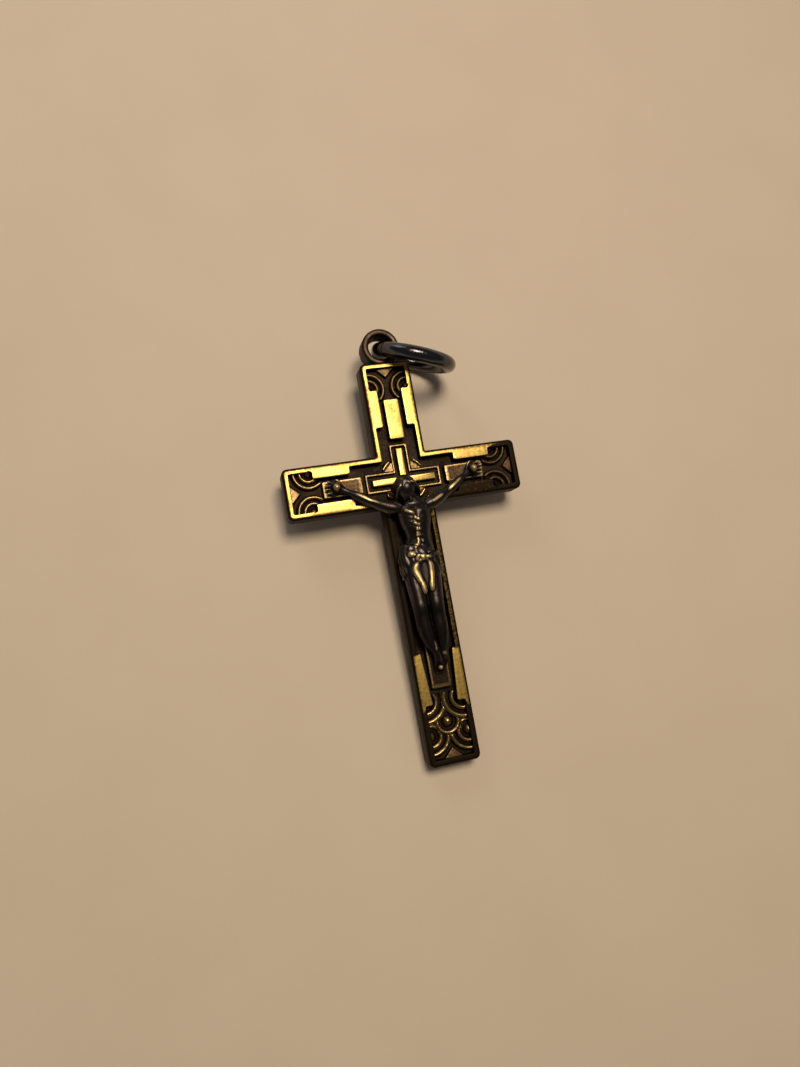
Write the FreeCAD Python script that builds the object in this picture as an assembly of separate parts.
import FreeCAD, Part
import math
import os

from FreeCAD import Vector

# A small pendant crucifix, lying on its back. +Z points out of the face, +Y to the
# hanging eye and +X to the right arm. The origin is on the back face, where the two
# bars of the cross meet. Millimetres.

# Cross: reach is from the crossing to the end of each arm
bar_width = 5.2
head_reach = 12.25
side_reach = 12.15
foot_reach = 28.5
end_corner_radius = 0.55
crotch_radius = 0.15

# Layers, from the back face up
base_thickness = 1.4
ground_thickness = 0.2
frame_thickness = 1.1
face_edge_round = 0.27
back_edge_round = 0.25
fit_gap = 0.03

# Stepped border: rim beside the channel, and the wide blocks that narrow it. Places
# along an arm are shares of its reach, and widths across it are shares of the bar width
rim_width = 0.62
channel_corner_radius = 0.12
block_corner_radius = 0.22
head_block_start = 0.445
head_block_end = 0.767
head_block_gap = 0.47
side_block_start = 0.444
side_block_end = 0.761
side_block_gap = 0.48
foot_block_start = 0.61
foot_block_end = 0.793
foot_block_gap_upper = 0.615
foot_block_gap_lower = 0.48

# Raised plaques, by the same shares
title_start = 0.34
title_end = 0.682
title_width = 0.308
title_height = 0.85
hand_plaque_start = 0.354
hand_plaque_end = 0.691
hand_plaque_width = 0.338
foot_plaque_start = 0.582
foot_plaque_end = 0.74
foot_plaque_width = 0.404
plaque_height = 0.7
plaque_corner_radius = 0.2
plaque_edge_round = 0.08

# Scale ornament in the four ends, its radii shares of the bar width
panel_pad = 0.1
panel_gap = 0.12
scale_radius = 0.335
scale_disc_radius = 0.187
scale_band_width = 0.104
scale_crest = 0.5
small_scale_share = 0.88
small_scale_step = 0.8
facet_depth = 0.19
facet_height = 0.42

# Small raised cross behind the figure, and the glory round its head, by the same shares
line_width = 0.28
line_height = 0.35
line_half_width = 0.156
line_half_height = 0.169
line_head = 0.294
line_side = 0.313
line_foot = 0.572
bar_half_width = 0.071
bar_height = 0.55
bar_head = 0.269
bar_side = 0.272
bar_foot = 0.561
glory_outer_radius = 0.49
glory_band_width = 0.09
glory_height = 0.4
glory_pad = 0.1

# Parts laid on a pad or on each other sink in by this much, so that they join
sink = 0.02
small_corner_radius = 0.05

# Figure and the nails that rivet it on; the nail places are shares of the reaches
figure_back_gap = 0.05
hand_share = 0.584
foot_share = 0.667
hand_thickness = 0.6
hand_width = 2.3
hand_breadth = 1.44
hand_room = 1.3
foot_thickness = 0.62
foot_room = 1.4
nail_shank = 0.56
nail_fit = 0.02
hand_nail_head = 1.5
hand_nail_rise = 0.72
foot_nail_head = 0.95
foot_nail_rise = 0.5
tail_diameter = 1.0
tail_depth = 0.3

# Hanging eye, its tenon, and the jump ring through it
eye_outer = 3.9
eye_bore = 2.5
eye_thickness = 2.2
eye_edge_round = 0.3
eye_overlap = 0.3
tenon_diameter = 0.7
tenon_length = 1.5
ring_outer = 9.0
ring_wire = 1.56
ring_kerf = 0.12
ring_kerf_angle = 148.0
ring_heading = -19.0
ring_lean = 14.0

# What follows from the sizes above
half_bar = bar_width / 2
channel = half_bar - rim_width
ground_z = base_thickness + ground_thickness
face_z = base_thickness + frame_thickness
plaque_z = ground_z + plaque_height
figure_z = face_z + figure_back_gap
hand_x = hand_share * side_reach
foot_nail_y = -foot_share * foot_reach
eye_y = head_reach + eye_outer / 2 - eye_overlap
eye_z = face_z / 2
tenon_z = base_thickness / 2
z_axis = Vector(0, 0, 1)

reaches = {"right": side_reach, "head": head_reach, "left": side_reach, "foot": foot_reach}
turns = {"right": 0, "head": 90, "left": 180, "foot": 270}
# Each arm's blocks: where they start and end, and the half gap at each of the two
block_shares = {
    "right": (side_block_start, side_block_end, side_block_gap, side_block_gap),
    "head": (head_block_start, head_block_end, head_block_gap, head_block_gap),
    "left": (side_block_start, side_block_end, side_block_gap, side_block_gap),
    "foot": (foot_block_start, foot_block_end, foot_block_gap_upper, foot_block_gap_lower),
}
blocks = {arm: (start * reaches[arm], end * reaches[arm], near * half_bar, far * half_bar)
          for arm, (start, end, near, far) in block_shares.items()}


def turned(along, across, angle):
    # A point given along and across an arm, turned to where that arm points
    a = math.radians(angle)
    return (along * math.cos(a) - across * math.sin(a), along * math.sin(a) + across * math.cos(a))


def rounded_wire(corners, z):
    # A closed outline from (x, y, radius) corners, each rounded by a tangent arc
    count = len(corners)
    edges = []
    last_end = None
    first_start = None
    for i, (x, y, radius) in enumerate(corners):
        here = Vector(x, y, z)
        before = Vector(corners[i - 1][0], corners[i - 1][1], z) - here
        after = Vector(corners[(i + 1) % count][0], corners[(i + 1) % count][1], z) - here
        half = before.getAngle(after) / 2
        reach = min(radius / math.tan(half), 0.49 * before.Length, 0.49 * after.Length)
        real_radius = reach * math.tan(half)
        start = here + before.normalize() * reach
        end = here + after.normalize() * reach
        middle = here + (before + after).normalize() * (real_radius / math.sin(half) - real_radius)
        if last_end is not None:
            edges.append(Part.makeLine(last_end, start))
        else:
            first_start = start
        edges.append(Part.Arc(start, middle, end).toShape())
        last_end = end
    edges.append(Part.makeLine(last_end, first_start))
    return Part.Wire(edges)


def prism(corners, bottom, top):
    face = Part.Face(rounded_wire(corners, bottom))
    return face.extrude(Vector(0, 0, top - bottom))


def round_level(solid, z, radius):
    # Rounds every edge that lies wholly at one height
    edges = [e for e in solid.Edges if abs(e.BoundBox.ZMin - z) < 1e-6 and abs(e.BoundBox.ZMax - z) < 1e-6]
    return solid.makeFillet(radius, edges)


def cross_corners(half_across, half_updown, head, side, foot, end_radius, inner_radius):
    # Outline of a plain cross, half_across wide in the post and half_updown in the side arms
    points = []
    halves = {"right": (half_updown, half_across), "head": (half_across, half_updown),
              "left": (half_updown, half_across), "foot": (half_across, half_updown)}
    ends = {"right": side, "head": head, "left": side, "foot": foot}
    for name, turn in turns.items():
        own, other = halves[name]
        for along, across, radius in ((other, -own, inner_radius), (ends[name], -own, end_radius),
                                      (ends[name], own, end_radius)):
            points.append(turned(along, across, turn) + (radius,))
    return points


def channel_corners(gap):
    # Inner outline of the stepped border, drawn in by gap on every side
    points = []
    side = channel - gap
    for name, turn in turns.items():
        start, end, near, far = blocks[name]
        tip = reaches[name] - rim_width - gap
        half = [(start - gap, side, channel_corner_radius), (start - gap, near - gap, block_corner_radius),
                (end + gap, far - gap, block_corner_radius), (end + gap, side, channel_corner_radius),
                (tip, side, channel_corner_radius)]
        points.append(turned(side, -side, turn) + (channel_corner_radius,))
        points += [turned(a, -b, turn) + (r,) for a, b, r in half]
        points += [turned(a, b, turn) + (r,) for a, b, r in reversed(half)]
    return points


def shank(diameter, x, y, bottom, top):
    return Part.makeCylinder(diameter / 2, top - bottom, Vector(x, y, bottom), z_axis)


def nail_places():
    return [(-hand_x, 0.0), (hand_x, 0.0), (0.0, foot_nail_y)]


def with_nail_holes(solid, bottom, top):
    for x, y in nail_places():
        solid = solid.cut(shank(nail_shank + 2 * nail_fit, x, y, bottom, top))
    return solid


def cross_blank(bottom, top):
    corners = cross_corners(half_bar, half_bar, head_reach, side_reach, foot_reach,
                            end_corner_radius, crotch_radius)
    return prism(corners, bottom, top)


def base_plate():
    # Back half of the cross, with countersinks for the nail tails and a socket for the eye
    plate = round_level(cross_blank(0, base_thickness), 0, back_edge_round)
    plate = with_nail_holes(plate, 0, base_thickness)
    for x, y in nail_places():
        sink = Part.makeCone(tail_diameter / 2 + nail_fit, nail_shank / 2 + nail_fit, tail_depth,
                             Vector(x, y, 0), z_axis)
        plate = plate.cut(sink)
    socket = Part.makeCylinder(tenon_diameter / 2 + nail_fit, tenon_length + fit_gap,
                               Vector(0, head_reach, tenon_z), Vector(0, -1, 0))
    return plate.cut(socket)


def border_frame():
    # Polished stepped border: the whole cross less its channel
    frame = round_level(cross_blank(base_thickness, face_z), face_z, face_edge_round)
    return frame.cut(prism(channel_corners(0), base_thickness, face_z))


def ground_plate():
    plate = prism(channel_corners(fit_gap), base_thickness, ground_z)
    return with_nail_holes(plate, base_thickness, ground_z)


def crowned_band(inner, outer, height, bottom):
    # Half-round ridge, turned full circle about the Z axis at the origin
    rise = Part.Arc(Vector(outer, 0, bottom), Vector((inner + outer) / 2, 0, bottom + height),
                    Vector(inner, 0, bottom)).toShape()
    flat = Part.makeLine(Vector(inner, 0, bottom), Vector(outer, 0, bottom))
    return Part.Face(Part.Wire([rise, flat])).revolve(Vector(), z_axis, 360)


def crowned_disc(radius, height, bottom):
    dome_radius = (radius ** 2 + height ** 2) / (2 * height)
    ball = Part.makeSphere(dome_radius, Vector(0, 0, bottom + height - dome_radius))
    return ball.common(Part.makeCylinder(radius * 1.01, height * 1.01, Vector(0, 0, bottom)))


def scale(share, along, across, bottom):
    # One scale: a domed disc inside a half-round band
    outer = scale_radius * share * bar_width
    band = crowned_band(outer - scale_band_width * share * bar_width, outer, scale_crest, bottom)
    disc = crowned_disc(scale_disc_radius * share * bar_width, scale_crest * 0.8, bottom)
    return [piece.translated(Vector(along, across, 0)) for piece in (band, disc)]


def end_panel(name, panel_start):
    # Relief at the end of one arm, drawn along +X and turned to the arm at the end
    start, end, near, far = blocks[name]
    side = channel - fit_gap
    mouth = far - fit_gap
    tip = reaches[name] - rim_width - fit_gap
    outline = [(panel_start, -mouth, small_corner_radius), (end + fit_gap, -mouth, block_corner_radius),
               (end + fit_gap, -side, channel_corner_radius), (tip, -side, channel_corner_radius),
               (tip, side, channel_corner_radius), (end + fit_gap, side, channel_corner_radius),
               (end + fit_gap, mouth, block_corner_radius), (panel_start, mouth, small_corner_radius)]
    pad_top = ground_z + panel_pad
    bottom = pad_top - sink
    pieces = []
    for across in (-channel, channel):
        pieces += scale(1.0, tip - channel, across, bottom)
    if name == "foot":
        for along, across in ((end + small_scale_step, -channel), (end + small_scale_step, channel),
                              (end + 2 * small_scale_step, 0)):
            pieces += scale(small_scale_share, along, across, bottom)
    depth = facet_depth * bar_width
    facet = Part.Face(Part.makePolygon([Vector(tip - depth, 0, bottom), Vector(tip, -depth, bottom),
                                        Vector(tip, depth, bottom), Vector(tip - depth, 0, bottom)]))
    pieces.append(facet.extrude(Vector(0, 0, facet_height)))
    pad = prism(outline, ground_z, pad_top)
    room = prism(outline, ground_z, face_z)
    panel = pad.multiFuse(pieces).common(room)
    panel.rotate(Vector(), z_axis, turns[name])
    return panel


def plaque(name, start_share, end_share, width_share, height):
    half = width_share * half_bar
    start = start_share * reaches[name]
    end = end_share * reaches[name]
    corners = [(start, -half, plaque_corner_radius), (end, -half, plaque_corner_radius),
               (end, half, plaque_corner_radius), (start, half, plaque_corner_radius)]
    block = prism(corners, ground_z, ground_z + height)
    block = round_level(block, ground_z + height, plaque_edge_round)
    block.rotate(Vector(), z_axis, turns[name])
    return with_nail_holes(block, ground_z, ground_z + height)


def small_cross(half_across, half_updown, ends, step, height):
    # Plain cross on the ground plate, its outline moved outward by step
    head, side, foot = ends
    corners = cross_corners(half_across * bar_width + step, half_updown * bar_width + step,
                            head * head_reach + step, side * side_reach + step,
                            foot * foot_reach + step, 2 * small_corner_radius, small_corner_radius)
    return prism(corners, ground_z, ground_z + height)


def inner_cross_outline():
    ends = (line_head, line_side, line_foot)
    outer = small_cross(line_half_width, line_half_height, ends, line_width / 2, line_height)
    return outer.cut(small_cross(line_half_width, line_half_height, ends, -line_width / 2, line_height))


def inner_cross_bar():
    bar = small_cross(bar_half_width, bar_half_width, (bar_head, bar_side, bar_foot), 0, bar_height)
    return round_level(bar, ground_z + bar_height, plaque_edge_round)


def nimbus():
    # Glory in the four corners of the small cross: a curved band and a corner facet on a thin pad
    outer = glory_outer_radius * bar_width
    inner = outer - glory_band_width * bar_width
    band = crowned_band(inner, outer, glory_height, ground_z + glory_pad - sink)
    disc = Part.makeCylinder(outer, glory_pad, Vector(0, 0, ground_z), z_axis)
    clear_x = line_half_width * bar_width + line_width / 2 + fit_gap
    clear_y = line_half_height * bar_width + line_width / 2 + fit_gap
    leg = inner / 2
    facet = [Vector(clear_x, clear_y, ground_z), Vector(clear_x + leg, clear_y, ground_z),
             Vector(clear_x, clear_y + leg, ground_z), Vector(clear_x, clear_y, ground_z)]
    wedge = Part.Face(Part.makePolygon(facet)).extrude(Vector(0, 0, glory_height))
    room = Part.makeBox(channel, channel, glory_height * 2, Vector(clear_x, clear_y, ground_z))
    reach = channel - fit_gap
    channel_room = Part.makeBox(2 * reach, 2 * reach, glory_height * 2, Vector(-reach, -reach, ground_z))
    quarter = disc.fuse(band).fuse(wedge).common(room).common(channel_room)
    quarters = []
    for flip_x in (False, True):
        for flip_y in (False, True):
            piece = quarter.mirror(Vector(), Vector(1, 0, 0)) if flip_x else quarter
            piece = piece.mirror(Vector(), Vector(0, 1, 0)) if flip_y else piece
            quarters.append(piece)
    return Part.makeCompound(quarters)


def ellipsoid(centre, half_x, half_y, half_z):
    ball = Part.makeSphere(1.0)
    stretch = FreeCAD.Matrix()
    stretch.scale(half_x, half_y, half_z)
    return ball.transformGeometry(stretch).translated(centre)


def limb(start, end, start_radius, end_radius):
    # A tapered round limb with a ball at its first end
    run = end - start
    cone = Part.makeCone(start_radius, end_radius, run.Length, start, run)
    return cone.fuse(Part.makeSphere(start_radius, start))


def body_sections():
    # Trunk and legs from neck to toes: share of the way to the foot nail, half width, height
    # of the middle above the figure's back, and half depth
    return [(0.09, 0.6, 0.75, 0.6), (0.142, 1.75, 0.75, 0.8), (0.221, 1.66, 0.85, 1.0),
            (0.31, 1.38, 0.75, 0.8), (0.38, 1.85, 0.75, 0.85), (0.437, 2.12, 0.8, 0.95),
            (0.516, 1.9, 0.8, 0.95), (0.652, 1.5, 0.85, 0.95), (0.747, 1.42, 0.8, 0.8),
            (0.863, 1.22, 0.55, 0.65), (0.937, 1.15, 0.35, 0.7), (1.037, 0.75, 0.1, 0.4)]


def figure_lumps():
    # Head, fallen lock, knot of the cloth and its hanging end: share across to the hand, share
    # down to the foot nail, height of the middle, and the three half sizes
    return [(0.014, 0.053, 1.0, 1.25, 1.5, 1.15), (0.148, 0.1, 0.75, 0.45, 1.1, 0.5),
            (0.07, 0.442, 1.6, 0.55, 0.45, 0.32), (0.085, 0.537, 1.45, 0.6, 1.9, 0.42)]


def arm(side):
    # Upper arm, forearm and open hand, from the shoulder to the nail
    shoulder = Vector(side * 0.246 * hand_x, 0.158 * foot_nail_y, figure_z + 0.85)
    elbow = Vector(side * 0.563 * hand_x, 0.103 * foot_nail_y, figure_z + 0.6)
    wrist = Vector(side * 0.887 * hand_x, 0.024 * foot_nail_y, figure_z + 0.25)
    hand = ellipsoid(Vector(side * hand_x, 0, plaque_z + hand_thickness / 2),
                     hand_width / 2, hand_breadth / 2, hand_thickness * 0.8)
    return [limb(shoulder, elbow, 0.72, 0.52), limb(elbow, wrist, 0.52, 0.36), hand]


def corpus():
    # Cast figure: trunk and legs in one loft, then head, cloth, arms and hands, all cut flat
    # behind, with the hands and feet let down onto their plaques
    rings = []
    for share, half_x, height, half_z in body_sections():
        middle = Vector(0, share * foot_nail_y, figure_z + height)
        edge = Part.Ellipse(middle, max(half_x, half_z), min(half_x, half_z)).toShape()
        edge.rotate(middle, Vector(1, 0, 0), 90)
        rings.append(Part.Wire([edge]))
    trunk = Part.makeLoft(rings, True, False)
    lumps = [ellipsoid(Vector(x * hand_x, y * foot_nail_y, figure_z + z), a, b, c)
             for x, y, z, a, b, c in figure_lumps()]
    figure = trunk.multiFuse(lumps + arm(-1) + arm(1))
    wide = 2 * (head_reach + foot_reach)
    under = Part.makeBox(wide, wide, 2 * figure_z, Vector(-wide / 2, -wide / 2, -figure_z))
    hand_half = hand_plaque_width * half_bar
    foot_half = foot_plaque_width * half_bar
    palm = hand_x - hand_room
    rooms = [Part.makeBox(hand_x, 2 * hand_half, figure_z - plaque_z, Vector(x, -hand_half, plaque_z))
             for x in (palm, -palm - hand_x)]
    rooms.append(Part.makeBox(2 * foot_half, 2 * foot_room, figure_z - plaque_z,
                              Vector(-foot_half, foot_nail_y - foot_room, plaque_z)))
    figure = figure.cut(under.cut(Part.makeCompound(rooms)))
    for x, y in nail_places():
        thickness, head = (foot_thickness, foot_nail_head) if y < 0 else (hand_thickness, hand_nail_head)
        top = plaque_z + thickness
        figure = figure.cut(shank(nail_shank + 2 * nail_fit, x, y, plaque_z, top))
        figure = figure.cut(shank(head + 2 * nail_fit, x, y, top, top + wide))
    return max(figure.Solids, key=lambda solid: solid.Volume)


def nail(x, y, seat_z, head, rise):
    # Domed head on the hand or foot, shank through the cross, tail spread into its countersink
    dome = crowned_disc(head / 2, rise, seat_z).translated(Vector(x, y, 0))
    pin = shank(nail_shank, x, y, 0, seat_z)
    tail = Part.makeCone(tail_diameter / 2, nail_shank / 2, tail_depth, Vector(x, y, 0), z_axis)
    return pin.fuse(tail).fuse(dome)


def hand_nails():
    seat = plaque_z + hand_thickness
    return Part.makeCompound([nail(x, 0, seat, hand_nail_head, hand_nail_rise) for x in (-hand_x, hand_x)])


def foot_nail():
    return nail(0, foot_nail_y, plaque_z + foot_thickness, foot_nail_head, foot_nail_rise)


def hanging_eye():
    # Round eye with a flat seat on the head end, and a tenon that goes into its socket
    bottom = eye_z - eye_thickness / 2
    eye = Part.makeCylinder(eye_outer / 2, eye_thickness, Vector(0, eye_y, bottom), z_axis)
    eye = eye.cut(Part.makeCylinder(eye_bore / 2, eye_thickness, Vector(0, eye_y, bottom), z_axis))
    soft = min(eye_edge_round, 0.45 * (eye_outer - eye_bore) / 2)
    eye = round_level(round_level(eye, bottom, soft), bottom + eye_thickness, soft)
    cross_end = Part.makeBox(bar_width, 2 * eye_overlap, face_z,
                             Vector(-half_bar, head_reach - 2 * eye_overlap, 0))
    tenon = Part.makeCylinder(tenon_diameter / 2, tenon_length + eye_overlap,
                              Vector(0, head_reach + eye_overlap, tenon_z), Vector(0, -1, 0))
    return eye.cut(cross_end).fuse(tenon)


def jump_ring():
    # Wire ring with a sawn joint, standing in the eye and leaning a little to the foot
    middle = (ring_outer - ring_wire) / 2
    kerf = math.degrees(ring_kerf / middle)
    ring = Part.makeTorus(middle, ring_wire / 2, Vector(), z_axis, -180, 180, 360 - kerf)
    ring.rotate(Vector(), z_axis, ring_kerf_angle + kerf / 2)
    ring.rotate(Vector(), Vector(1, 0, 0), 90 + ring_lean)
    ring.translate(Vector(middle, 0, 0))
    ring.rotate(Vector(), z_axis, ring_heading)
    ring.translate(Vector(0, eye_y, eye_z))
    return ring


nodes = {
    "base_plate": base_plate(),
    "border_frame": border_frame(),
    "ground_plate": ground_plate(),
    "end_panel_head": end_panel("head", title_end * head_reach + panel_gap),
    "end_panel_left": end_panel("left", hand_plaque_end * side_reach + panel_gap),
    "end_panel_right": end_panel("right", hand_plaque_end * side_reach + panel_gap),
    "end_panel_foot": end_panel("foot", foot_plaque_end * foot_reach + 4 * panel_gap),
    "title_plaque": plaque("head", title_start, title_end, title_width, title_height),
    "hand_plaque_left": plaque("left", hand_plaque_start, hand_plaque_end, hand_plaque_width, plaque_height),
    "hand_plaque_right": plaque("right", hand_plaque_start, hand_plaque_end, hand_plaque_width,
                                plaque_height),
    "foot_plaque": plaque("foot", foot_plaque_start, foot_plaque_end, foot_plaque_width, plaque_height),
    "inner_cross_outline": inner_cross_outline(),
    "inner_cross_bar": inner_cross_bar(),
    "nimbus": nimbus(),
    "corpus": corpus(),
    "hand_nails": hand_nails(),
    "foot_nail": foot_nail(),
    "hanging_eye": hanging_eye(),
    "jump_ring": jump_ring(),
}

os.makedirs("parts", exist_ok=True)
for node, shape in nodes.items():
    shape.exportStep(os.path.join("parts", node + ".step"))
    box = shape.optimalBoundingBox()
    print(f"{node:22s} solids {len(shape.Solids)} valid {shape.isValid()} volume {shape.Volume:8.3f}"
          f"  x {box.XMin:6.2f} {box.XMax:6.2f}  y {box.YMin:6.2f} {box.YMax:6.2f}"
          f"  z {box.ZMin:5.2f} {box.ZMax:5.2f}")
